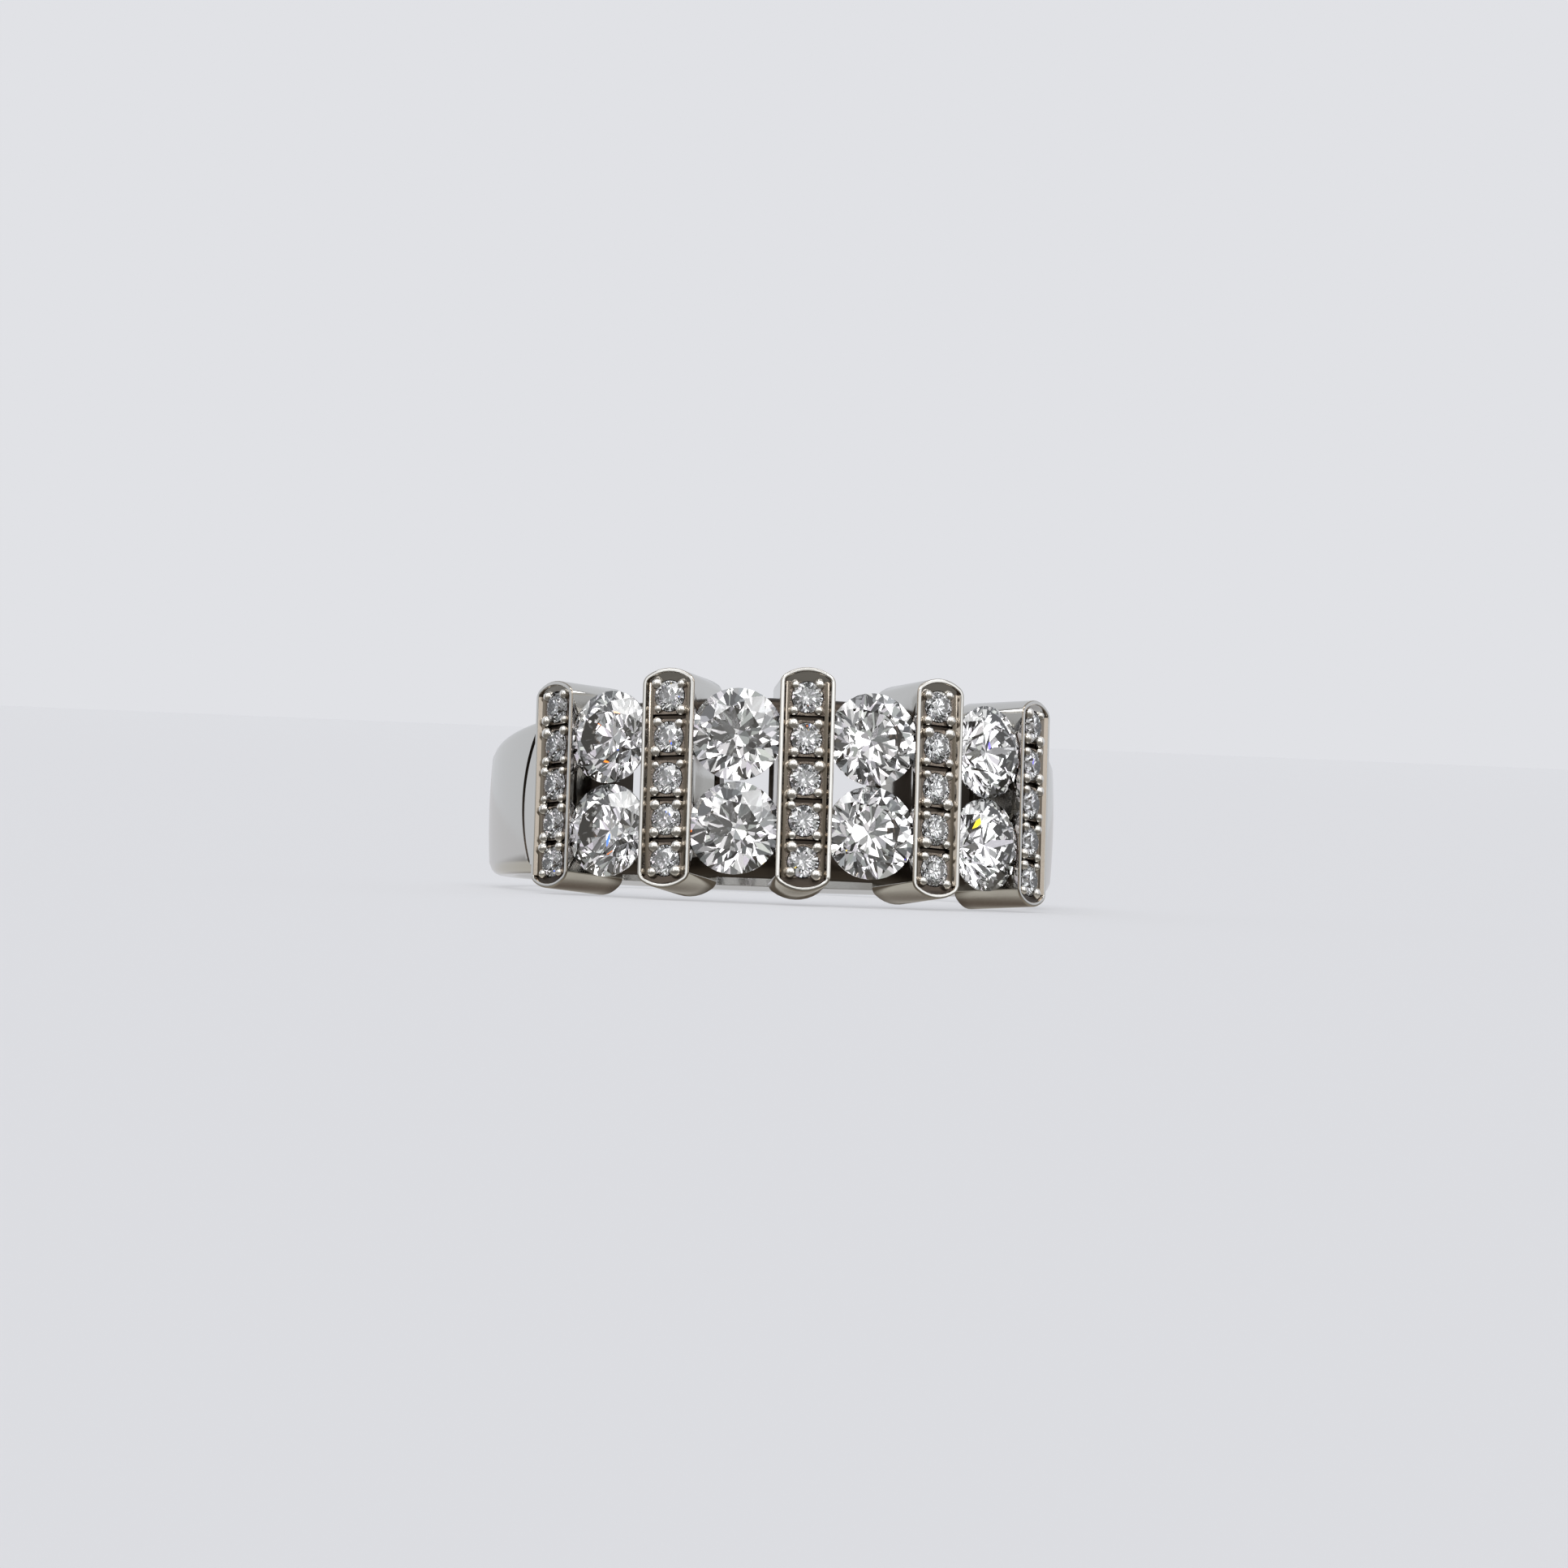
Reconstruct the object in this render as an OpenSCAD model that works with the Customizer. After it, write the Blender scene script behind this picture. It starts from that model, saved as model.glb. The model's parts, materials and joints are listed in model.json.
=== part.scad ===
// Bar set band ring: five bars of small accent stones stand across the head of a
// tapered band, and grip four pairs of round brilliants between their side walls.
// Built flat with its head towards -Y and its finger hole along Z, about the hole's
// centre, and then tipped to lie as it does on a table.

/* [Finger hole] */
// Diameter of the finger hole
bore_d = 17.0; // [16.5:0.1:18.1]

/* [Band] */
// Radial thickness of the band
band_t = 0.95; // [0.85:0.05:1.1]
// Width of the band at its two sides
band_w_side = 4.33; // [4.0:0.01:4.6]
// Width of the band at its back
band_w_back = 2.66; // [2.3:0.01:3.0]
// Radius of the slight dome across the band's outer face
dome_r = 26; // [20:1:60]
// Width of the flat filed beside each outermost bar, along the band
shoulder_flat_w = 2.6; // [2.2:0.1:3.0]
// Depth of that flat where it meets the bar
shoulder_flat_depth = 0.1; // [0.05:0.01:0.15]

/* [Bars] */
// Height of the middle bar's top above the finger hole
head_h = 3.2; // [3.1:0.01:3.3]
// Radius of the arc on which the tops of all bars lie
head_r = 9.89; // [9.7:0.005:9.95]
// Angle between neighbouring bars on that arc
bar_pitch = 26.7; // [26.6:0.1:27.4]
// Width of a bar
bar_w = 1.8; // [1.75:0.01:1.85]
// Depth of the three middle bars from top to base
bar_depth = 2.5; // [2.45:0.01:2.6]
// Length of the middle bar
bar_l_mid = 7.3; // [7.2:0.01:7.5]
// Length of the bars beside the middle one
bar_l_inner = 7.18; // [7.1:0.01:7.3]
// Length of the outermost bars
bar_l_outer = 6.8; // [6.7:0.01:6.95]
// Radius of the rounded end of a bar, seen from above
bar_end_r = 1.3; // [1.2:0.05:1.5]
// Width of the plain rim round a bar's top
rim_w = 0.15; // [0.1:0.01:0.2]
// Depth of the channel inside that rim
channel_depth = 0.16; // [0.1:0.01:0.2]

/* [Main stones] */
// Diameter of a main stone
main_d = 3.02; // [2.95:0.01:3.03]
// Distance between the two main stones of a pair
pair_pitch = 3.05; // [3.05:0.01:3.15]
// How far each pair sits towards the lower edge of the head
pair_drop = 0.08; // [0:0.01:0.1]
// Depth of a main stone's girdle below the arc of the bar tops
main_girdle_drop = 0.33; // [0.3:0.01:0.5]

/* [Accent stones] */
// Diameter of an accent stone
accent_d = 1.0; // [0.9:0.01:1.1]
// Distance between the accent stones of the three middle bars
accent_pitch = 1.34; // [1.3:0.01:1.36]
// Distance between the accent stones of the outermost bars
accent_pitch_outer = 1.27; // [1.24:0.01:1.29]
// Depth of an accent stone's girdle below the bar's top
accent_girdle_drop = 0.14; // [0.1:0.01:0.18]

/* [Brilliant cut] */
// Table width as a share of the stone's diameter
table_share = 0.56; // [0.53:0.01:0.6]
// Crown angle
crown_angle = 34.5; // [33:0.1:36]
// Pavilion angle
pavilion_angle = 40.8; // [40:0.1:42]
// Girdle thickness as a share of the diameter, at the tips of the kites
girdle_share = 0.035; // [0.03:0.005:0.05]
// Length of the star facets between table and girdle
star_share = 0.5; // [0.45:0.01:0.6]
// Length of the lower girdle facets between girdle and culet
lower_share = 0.77; // [0.7:0.01:0.85]

/* [Openings under the stones] */
// Width of the opening in the band under each pair
opening_w = 1.6; // [1.2:0.05:1.7]
// Length of that opening along the finger hole
opening_l = 4.6; // [3.6:0.1:4.8]

/* [Hidden] */
BARS = 5;
PAIRS = BARS - 1;
ACCENTS_PER_BAR = 5;
PAIR_ENDS = ["upper", "lower"];

function main_name(pair, end) = str("stone_", pair, "_", PAIR_ENDS[end]);
function accent_name(bar, place) = str("accent_", bar, "_", place);

// Room left round each stone in its seat
seat_gap = 0.025;
// Radius of an opening's rounded ends as a share of its width
opening_end_share = 0.6;
// How far the outermost bars' bases stay outside the finger hole
base_clearance = 0.03;
// How far a cut runs past the surface that it opens
cut_over = 1;
// Facets that show a large circle, a small one, and the dome across the band
smooth = 96;
round_fn = 48;
DOME_STEPS = 8;

bore_r = bore_d / 2;
band_r = bore_r + band_t;
half_side = band_w_side / 2;
band_slope = (band_w_side - band_w_back) / 2 / band_r;

// Centre of the arc of the bar tops, in front of the finger hole's centre
arc_y = -(bore_r + head_h - head_r);
bar_lengths = [bar_l_outer, bar_l_inner, bar_l_mid, bar_l_inner, bar_l_outer];
accent_pitches = [accent_pitch_outer, accent_pitch, accent_pitch, accent_pitch, accent_pitch_outer];
middle_bar = (BARS + 1) / 2;
main_girdle_r = head_r - main_girdle_drop;

// Half the width of the band at a place y along the head-to-back line
function half_width(y) = half_side - band_slope * y;
function bar_angle(bar) = (bar - middle_bar) * bar_pitch;
function pair_angle(pair) = bar_angle(pair + 0.5);

// Radius on the arc at which a bar's base lies. The outermost bars are a little less deep,
// so that their outer corners stay clear of the finger hole.
function hole_at_corner(angle) =
    let (aside = abs(arc_y * sin(angle)) - bar_w / 2)
    arc_y * cos(angle) + sqrt(bore_r * bore_r - aside * aside);
function base_r(bar) = max(head_r - bar_depth, hole_at_corner(bar_angle(bar)) + base_clearance);

// Lying at rest: the feet of the outermost bars and the back of the band touch the table
outer_angle = bar_angle(BARS);
foot_y = arc_y - base_r(BARS) * cos(outer_angle);
rest_tilt = atan((bar_l_outer / 2 - half_width(band_r)) / (band_r - foot_y));

// Unit brilliant: girdle of radius 1 about the middle of the girdle's thickness
GIRDLE_STEPS = 32;
FOLD = 8;
PER_FOLD = GIRDLE_STEPS / FOLD;
fold_step = 360 / FOLD;
fold_half = fold_step / 2;
girdle_half = girdle_share;
table_h = girdle_half + (1 - table_share) * tan(crown_angle);
culet_h = girdle_half + tan(pavilion_angle);
star_r = table_share * cos(fold_half) * (1 - star_share) + star_share;
star_h = table_h - (star_r * cos(fold_half) - table_share) * tan(crown_angle);
lower_r = 1 - lower_share;
lower_h = girdle_half + (1 - lower_r * cos(fold_half)) * tan(pavilion_angle);

// Height of a girdle facet's plane over a point of the girdle a quarter fold from its tip.
// The plane runs through (1, h) at 0 and at half a fold, and through (r_in, h_in) at half a fold.
function scallop(h, r_in, h_in) =
    let (
        chord_r = cos(fold_half / 2),
        reach = chord_r - r_in * cos(fold_half / 2)
    )
    h - (1 - chord_r) * (h_in - h) / reach;

upper_scallop = scallop(girdle_half, star_r, star_h);
lower_scallop = scallop(girdle_half, lower_r, lower_h);
crown_ridge = (star_h - girdle_half) / (1 - star_r);
pavilion_ridge = (lower_h - girdle_half) / (1 - lower_r);

function ring_point(radius, angle, height) = [radius * cos(angle), radius * sin(angle), height];
function fold_ring(radius, height, turn) =
    [for (i = [0:FOLD - 1]) ring_point(radius, i * fold_step + turn, height)];
function girdle_ring(tip_h, scallop_h) =
    [for (i = [0:GIRDLE_STEPS - 1])
        ring_point(1, i * 360 / GIRDLE_STEPS, i % 2 == 0 ? tip_h : scallop_h)];

brilliant_points = concat(
    fold_ring(table_share, table_h, 0),
    fold_ring(star_r, star_h, fold_half),
    girdle_ring(girdle_half, upper_scallop),
    girdle_ring(-girdle_half, -lower_scallop),
    fold_ring(lower_r, -lower_h, fold_half),
    [[0, 0, -culet_h]]
);
star_at = FOLD;
top_at = 2 * FOLD;
bottom_at = top_at + GIRDLE_STEPS;
lower_at = bottom_at + GIRDLE_STEPS;
culet_at = lower_at + FOLD;

function table_i(i) = i % FOLD;
function star_i(i) = star_at + (i + FOLD) % FOLD;
function top_i(i) = top_at + i % GIRDLE_STEPS;
function bottom_i(i) = bottom_at + i % GIRDLE_STEPS;
function lower_i(i) = lower_at + (i + FOLD) % FOLD;

// Faces are listed clockwise as seen from outside
brilliant_faces = concat(
    [[for (i = [FOLD - 1:-1:0]) table_i(i)]],
    [for (i = [0:FOLD - 1]) [table_i(i), table_i(i + 1), star_i(i)]],
    [for (i = [0:FOLD - 1]) [table_i(i), star_i(i), top_i(i * PER_FOLD), star_i(i - 1)]],
    [for (i = [0:FOLD - 1], j = i * PER_FOLD) [star_i(i), top_i(j + 2), top_i(j + 1), top_i(j)]],
    [for (i = [0:FOLD - 1], j = i * PER_FOLD) [star_i(i), top_i(j + 4), top_i(j + 3), top_i(j + 2)]],
    [for (i = [0:GIRDLE_STEPS - 1]) [top_i(i), top_i(i + 1), bottom_i(i + 1), bottom_i(i)]],
    [for (i = [0:FOLD - 1], j = i * PER_FOLD) [lower_i(i), bottom_i(j), bottom_i(j + 1), bottom_i(j + 2)]],
    [for (i = [0:FOLD - 1], j = i * PER_FOLD) [lower_i(i), bottom_i(j + 2), bottom_i(j + 3), bottom_i(j + 4)]],
    [for (i = [0:FOLD - 1]) [culet_at, lower_i(i - 1), bottom_i(i * PER_FOLD), lower_i(i)]]
);

// Round brilliant of a given diameter, table up, girdle on the XY plane
module brilliant(d) {
    scale(d / 2)
        rotate([0, 0, fold_half / 2])
            polyhedron(points = brilliant_points, faces = brilliant_faces, convexity = 2);
}

// The space that a stone takes in the metal, with a little room all round
module seat(d) {
    r = d / 2 + seat_gap;
    g = girdle_half * d / 2 + seat_gap;
    rotate_extrude($fn = round_fn)
        polygon([
            [0, -g - r * pavilion_ridge],
            [r, -g],
            [r, g],
            [0, g + r * crown_ridge]
        ]);
}

// Tips the upright ring over so that it lies at rest
module lying() {
    rotate([-rest_tilt, 0, 0]) children();
}

// Places children on the arc of the bar tops: their Z points outwards, their Y along the hole
module on_arc(angle, r) {
    translate([0, arc_y, 0])
        rotate([0, 0, angle])
            translate([0, -r, 0])
                rotate([90, 0, 0])
                    children();
}

// Outline of a bar from above: straight sides and ends that are arcs
module bar_plan(w, l, end_r) {
    rise = end_r - sqrt(end_r * end_r - w * w / 4);
    square([w, l - 2 * rise], center = true);
    for (side = [-1, 1])
        intersection() {
            translate([0, side * (l / 2 - end_r)])
                circle(r = end_r, $fn = smooth);
            translate([0, side * (l / 2 - rise)])
                square([w, 2 * rise], center = true);
        }
}

module bar_block(bar) {
    on_arc(bar_angle(bar), base_r(bar))
        linear_extrude(height = head_r - base_r(bar))
            bar_plan(bar_w, bar_lengths[bar - 1], bar_end_r);
}

// The sunk field inside the rim, and the seats of the accent stones in it
module bar_cuts(bar) {
    on_arc(bar_angle(bar), head_r - channel_depth)
        linear_extrude(height = channel_depth + cut_over)
            bar_plan(bar_w - 2 * rim_w, bar_lengths[bar - 1] - 2 * rim_w, bar_end_r - rim_w);
    for (place = [1:ACCENTS_PER_BAR])
        at_accent(bar, place)
            seat(accent_d);
}

module at_accent(bar, place) {
    on_arc(bar_angle(bar), head_r - accent_girdle_drop)
        translate([0, ((ACCENTS_PER_BAR + 1) / 2 - place) * accent_pitches[bar - 1], 0])
            children();
}

module at_main(pair, end) {
    on_arc(pair_angle(pair), main_girdle_r)
        translate([0, (end == 0 ? 1 : -1) * pair_pitch / 2 - pair_drop, 0])
            children();
}

// The plain hoop, domed a little across, before its sides and its hole are cut
module hoop() {
    half = half_width(-band_r) + cut_over;
    inner_r = bore_r - band_t / 2;
    rotate_extrude($fn = smooth)
        polygon(concat(
            [[inner_r, half], [inner_r, -half]],
            [for (i = [0:DOME_STEPS])
                let (z = half * (2 * i / DOME_STEPS - 1))
                [band_r - dome_r + sqrt(dome_r * dome_r - z * z), z]]
        ));
}

// Keeps what lies between the two slanting planes of the band's sides
module taper_wedge() {
    reach = band_r + cut_over;
    rotate([90, 0, 90])
        linear_extrude(height = 2 * reach, center = true)
            polygon([
                [-reach, half_width(-reach)],
                [-reach, -half_width(-reach)],
                [reach, -half_width(reach)],
                [reach, half_width(reach)]
            ]);
}

// Angle about the finger hole at which the hoop leaves the outermost bar's outer wall
function shoulder_angle() =
    let (
        x_wall = bar_w / 2 * cos(outer_angle),
        y_wall = arc_y + bar_w / 2 * sin(outer_angle),
        ahead = x_wall * sin(outer_angle) - y_wall * cos(outer_angle),
        reach = -ahead + sqrt(ahead * ahead - x_wall * x_wall - y_wall * y_wall + band_r * band_r),
        x = x_wall + reach * sin(outer_angle),
        y = y_wall - reach * cos(outer_angle)
    )
    atan2(x, -y);

// Shallow flat filed on the hoop just outside an outermost bar, deepest at the bar's wall
module shoulder_flat(side) {
    turn = shoulder_flat_w / band_r * 180 / PI;
    rise = band_r * (1 - cos(turn)) - shoulder_flat_depth;
    lean = atan2(rise, band_r * sin(turn));
    mirror([side < 0 ? 1 : 0, 0, 0])
        rotate([0, 0, shoulder_angle()])
            translate([0, -band_r + shoulder_flat_depth, 0])
                rotate([0, 0, lean])
                    translate([-cut_over, -2 * cut_over, -band_w_side])
                        cube([cut_over + 2 * shoulder_flat_w, 2 * cut_over, 2 * band_w_side]);
}

// Long opening through the band under a pair, with rounded ends
module opening(pair) {
    bottom_r = head_r - bar_depth - cut_over;
    on_arc(pair_angle(pair), bottom_r)
        linear_extrude(height = main_girdle_r - bottom_r)
            bar_plan(opening_w, opening_l, opening_w * opening_end_share);
}

module shank() {
    difference() {
        intersection() {
            hoop();
            taper_wedge();
        }
        for (side = [-1, 1]) shoulder_flat(side);
    }
}

module band() {
    color("#c9c8c4")
        lying()
            difference() {
                union() {
                    shank();
                    for (bar = [1:BARS]) bar_block(bar);
                }
                cylinder(r = bore_r, h = 2 * bar_l_mid, center = true, $fn = smooth);
                for (bar = [1:BARS]) bar_cuts(bar);
                for (pair = [1:PAIRS]) {
                    opening(pair);
                    for (end = [0, 1]) at_main(pair, end) seat(main_d);
                }
            }
}

module main_stone(pair, end) {
    color("#e8ecef") lying() at_main(pair, end) brilliant(main_d);
}

module accent_stone(bar, place) {
    color("#dfe2e4") lying() at_accent(bar, place) brilliant(accent_d);
}

band();
for (pair = [1:PAIRS], end = [0, 1])
    main_stone(pair, end);
for (bar = [1:BARS], place = [1:ACCENTS_PER_BAR])
    accent_stone(bar, place);
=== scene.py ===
"""Bar set band: the finished look of a white gold ring with diamonds.

The ring lies on its side on a pale table. Its metal is modelled here as a shank, five bars and
the beads that hold the accent stones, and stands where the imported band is. The stones are the
packed ones. Sizes are in millimetres, in the frame of the upright ring: the head towards -Y, the
finger hole along Z, about the hole's centre. The last step of each piece tips it to lie at rest.
"""

from __future__ import annotations

import json
import logging
import math
import random
from dataclasses import dataclass
from enum import Enum
from typing import Any, Iterable

import bmesh
import bpy
from bmesh.types import BMEdge, BMesh, BMFace, BMVert
from bpy.types import Material, Mesh, Node, NodeSocket, NodeTree, Object, World
from mathutils import Matrix, Vector

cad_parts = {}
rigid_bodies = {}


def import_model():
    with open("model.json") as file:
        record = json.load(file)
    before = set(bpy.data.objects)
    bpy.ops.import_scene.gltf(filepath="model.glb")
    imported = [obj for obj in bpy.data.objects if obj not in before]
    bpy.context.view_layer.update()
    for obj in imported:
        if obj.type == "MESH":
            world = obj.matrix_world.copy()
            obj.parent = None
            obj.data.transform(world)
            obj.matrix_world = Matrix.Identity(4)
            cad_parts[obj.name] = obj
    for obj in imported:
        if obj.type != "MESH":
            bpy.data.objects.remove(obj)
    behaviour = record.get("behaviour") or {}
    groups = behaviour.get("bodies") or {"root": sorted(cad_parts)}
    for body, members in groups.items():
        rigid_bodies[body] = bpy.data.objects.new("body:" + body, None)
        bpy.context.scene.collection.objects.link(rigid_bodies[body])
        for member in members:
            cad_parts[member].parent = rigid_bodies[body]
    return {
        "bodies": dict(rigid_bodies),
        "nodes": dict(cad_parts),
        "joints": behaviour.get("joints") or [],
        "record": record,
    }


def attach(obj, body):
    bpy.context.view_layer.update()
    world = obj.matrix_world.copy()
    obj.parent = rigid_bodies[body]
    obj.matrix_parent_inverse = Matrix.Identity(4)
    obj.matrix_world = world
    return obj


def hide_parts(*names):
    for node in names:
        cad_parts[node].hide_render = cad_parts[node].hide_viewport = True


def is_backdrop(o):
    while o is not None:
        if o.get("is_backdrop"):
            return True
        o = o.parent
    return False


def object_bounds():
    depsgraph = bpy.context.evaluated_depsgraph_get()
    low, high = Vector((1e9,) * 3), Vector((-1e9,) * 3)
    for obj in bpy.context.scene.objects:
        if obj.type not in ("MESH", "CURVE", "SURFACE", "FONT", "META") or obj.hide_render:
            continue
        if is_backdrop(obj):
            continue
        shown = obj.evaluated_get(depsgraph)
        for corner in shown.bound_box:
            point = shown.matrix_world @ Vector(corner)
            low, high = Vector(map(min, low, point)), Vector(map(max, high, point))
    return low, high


MM = 0.001
BODY = "root"
BAND_NODE = "band"
LOG = logging.getLogger("bar_set_band")
# Places that are less than this many millimetres apart count as the same
NEAR = 1e-4
# How far up a face's normal points: at most on a wall, at least on a gentle slope, and at least
# on a level face
WALL_RISE = 0.05
GENTLE_RISE = 0.9
LEVEL_RISE = 0.98
# Sockets of a Mix node for colours, by number because it has several of each name
MIX_SHARE = 0
MIX_FIRST = 6
MIX_SECOND = 7
MIX_RESULT = 2


class Slot(Enum):
    """The record's material slots."""

    WHITE_GOLD = "white_gold"
    DIAMOND = "diamond"


class SeenBy(Enum):
    """What sees a piece of the studio, each by its own kind of ray."""

    CAMERA = "camera"
    DIFFUSE = "diffuse"
    SHADOW = "shadow"
    METAL = "glossy"
    STONES = "transmission"


class Skin(Enum):
    """Places in a metal piece's list of finishes."""

    POLISHED = 0
    CUT = 1
    # A dark brown copy of the white gold: painted shade, with some dirt
    DIRT_AND_SHADE = 2
    TOOLED = 3


def linear(hex_colour: str) -> tuple[float, float, float, float]:
    """Turns an sRGB hex colour into linear light.

    Args:
        hex_colour: Six hex digits after a hash sign.

    Returns:
        Red, green, blue and an alpha of 1.
    """
    parts = [int(hex_colour[i : i + 2], 16) / 255 for i in (1, 3, 5)]
    red, green, blue = [c / 12.92 if c <= 0.04045 else ((c + 0.055) / 1.055) ** 2.4 for c in parts]
    return red, green, blue, 1.0


def add_node(
    tree: NodeTree, kind: str, inputs: dict[str | int, Any] | None = None, **settings: Any
) -> Node:
    """Adds a node, sets its options and its sockets, and links what comes from another node.

    Args:
        tree: The node tree that takes the node.
        kind: The node's Blender type.
        inputs: Values or output sockets, by the name or number of the input.
        settings: Options of the node.

    Returns:
        The new node.
    """
    node = tree.nodes.new(kind)
    for name, value in settings.items():
        setattr(node, name, value)
    for name, value in (inputs or {}).items():
        if isinstance(value, NodeSocket):
            tree.links.new(value, node.inputs[name])
        else:
            node.inputs[name].default_value = value
    return node


def start_tree(owner: Material | World) -> NodeTree:
    """Gives a new material or world an empty node tree.

    Args:
        owner: The material or world.

    Returns:
        The tree.
    """
    owner.use_nodes = True
    owner.node_tree.nodes.clear()
    return owner.node_tree


def set_ramp(node: Node, stops: Iterable[tuple[float, tuple[float, ...]]]) -> None:
    """Gives a new colour ramp its stops.

    Args:
        node: The Color Ramp node.
        stops: Places from 0 to 1, each with its colour.
    """
    elements = node.color_ramp.elements
    for index, (at, colour) in enumerate(stops):
        stop = elements[index] if index < len(elements) else elements.new(at)
        stop.position = at
        stop.color = colour


@dataclass(frozen=True)
class WhiteGold:
    """18 carat white gold, cast and then worked by hand.

    Its own colour is a warm pale grey, so light that has bounced between its walls comes out
    brownish, as it does in the deep cuts of the real ring.
    """

    name: str
    colour: str = "#DEDDDA"
    roughness: float = 0.07
    wear_mm: float = 2.5
    wear: float = 0.05
    least_roughness: float = 0.02
    scratch_mm: float = 0.12
    scratch_depth_mm: float = 0.0012
    # Painted shade, with some tarnish: a darker colour where the metal closes in, within the reach
    # below; the last field lets other pieces close it in too
    tarnish_and_shade: str = "#5A4A3E"
    tarnish_and_shade_reach_mm: float = 0.0
    tarnish_and_shade_beside_others: bool = False

    def build(self) -> Material:
        """Makes the material.

        Returns:
            The material, on Object coordinates.
        """
        material = bpy.data.materials.new(self.name)
        tree = start_tree(material)
        where = add_node(tree, "ShaderNodeTexCoord").outputs["Object"]
        # Handling leaves a finely uneven polish
        patches = add_node(
            tree,
            "ShaderNodeTexNoise",
            {"Vector": where, "Scale": 1 / (self.wear_mm * MM), "Detail": 3.0, "Roughness": 0.6},
        )
        rough = add_node(
            tree,
            "ShaderNodeMapRange",
            {
                "Value": patches.outputs["Fac"],
                "From Min": 0.3,
                "From Max": 0.7,
                "To Min": max(self.roughness - self.wear / 2, self.least_roughness),
                "To Max": self.roughness + self.wear / 2,
            },
        )
        # Fine marks of the polishing mop, drawn coarser than real so that they show
        marks = add_node(
            tree,
            "ShaderNodeTexNoise",
            {"Vector": where, "Scale": 1 / (self.scratch_mm * MM), "Detail": 4.0, "Roughness": 0.7},
        )
        depth = self.scratch_depth_mm * MM
        relief = {"Height": marks.outputs["Fac"], "Distance": depth, "Strength": 0.6}
        bump = add_node(tree, "ShaderNodeBump", relief)
        base: Any = linear(self.colour)
        if self.tarnish_and_shade_reach_mm > 0:
            # Painted shade, with some dirt and tarnish: the colour darkens where the metal closes in
            hollow = add_node(
                tree,
                "ShaderNodeAmbientOcclusion",
                {"Distance": self.tarnish_and_shade_reach_mm * MM},
                samples=6,
                only_local=not self.tarnish_and_shade_beside_others,
            )
            open_share = add_node(
                tree,
                "ShaderNodeMapRange",
                {"Value": hollow.outputs["AO"], "From Min": 0.15, "From Max": 0.75},
                interpolation_type="SMOOTHSTEP",
            ).outputs["Result"]
            base = add_node(
                tree,
                "ShaderNodeMix",
                {MIX_SHARE: open_share, MIX_FIRST: linear(self.tarnish_and_shade), MIX_SECOND: base},
                data_type="RGBA",
            ).outputs[MIX_RESULT]
        shader = add_node(
            tree,
            "ShaderNodeBsdfPrincipled",
            {
                "Base Color": base,
                "Metallic": 1.0,
                "Roughness": rough.outputs["Result"],
                "Normal": bump.outputs["Normal"],
            },
        )
        add_node(tree, "ShaderNodeOutputMaterial", {"Surface": shader.outputs["BSDF"]})
        return material


@dataclass(frozen=True)
class Diamond:
    """Colourless diamond, cut and polished to flat facets.

    The high index mirrors most light inside the stone, which gives the white and dark facets.
    """

    name: str
    colour: str = "#FBFCFF"
    ior: float = 2.417

    def build(self) -> Material:
        """Makes the material.

        Returns:
            The material.
        """
        material = bpy.data.materials.new(self.name)
        tree = start_tree(material)
        shader = add_node(
            tree,
            "ShaderNodeBsdfPrincipled",
            {
                "Base Color": linear(self.colour),
                "Roughness": 0.0,
                "IOR": self.ior,
                "Transmission Weight": 1.0,
            },
        )
        add_node(tree, "ShaderNodeOutputMaterial", {"Surface": shader.outputs["BSDF"]})
        return material


@dataclass(frozen=True)
class TablePaper:
    """Matt pale paper, lit from all round so evenly that it shows no edge or fold."""

    name: str
    colour: str = "#E1E2E6"
    lit_share: float = 0.4
    glow: float = 0.62

    def build(self) -> Material:
        """Makes the material.

        Returns:
            The material.
        """
        material = bpy.data.materials.new(self.name)
        tree = start_tree(material)
        paper = linear(self.colour)
        shader = add_node(
            tree,
            "ShaderNodeBsdfPrincipled",
            {
                "Base Color": (*[channel * self.lit_share for channel in paper[:3]], 1.0),
                "Roughness": 1.0,
                "Specular IOR Level": 0.0,
                "Emission Color": paper,
                "Emission Strength": self.glow,
            },
        )
        add_node(tree, "ShaderNodeOutputMaterial", {"Surface": shader.outputs["BSDF"]})
        return material


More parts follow.
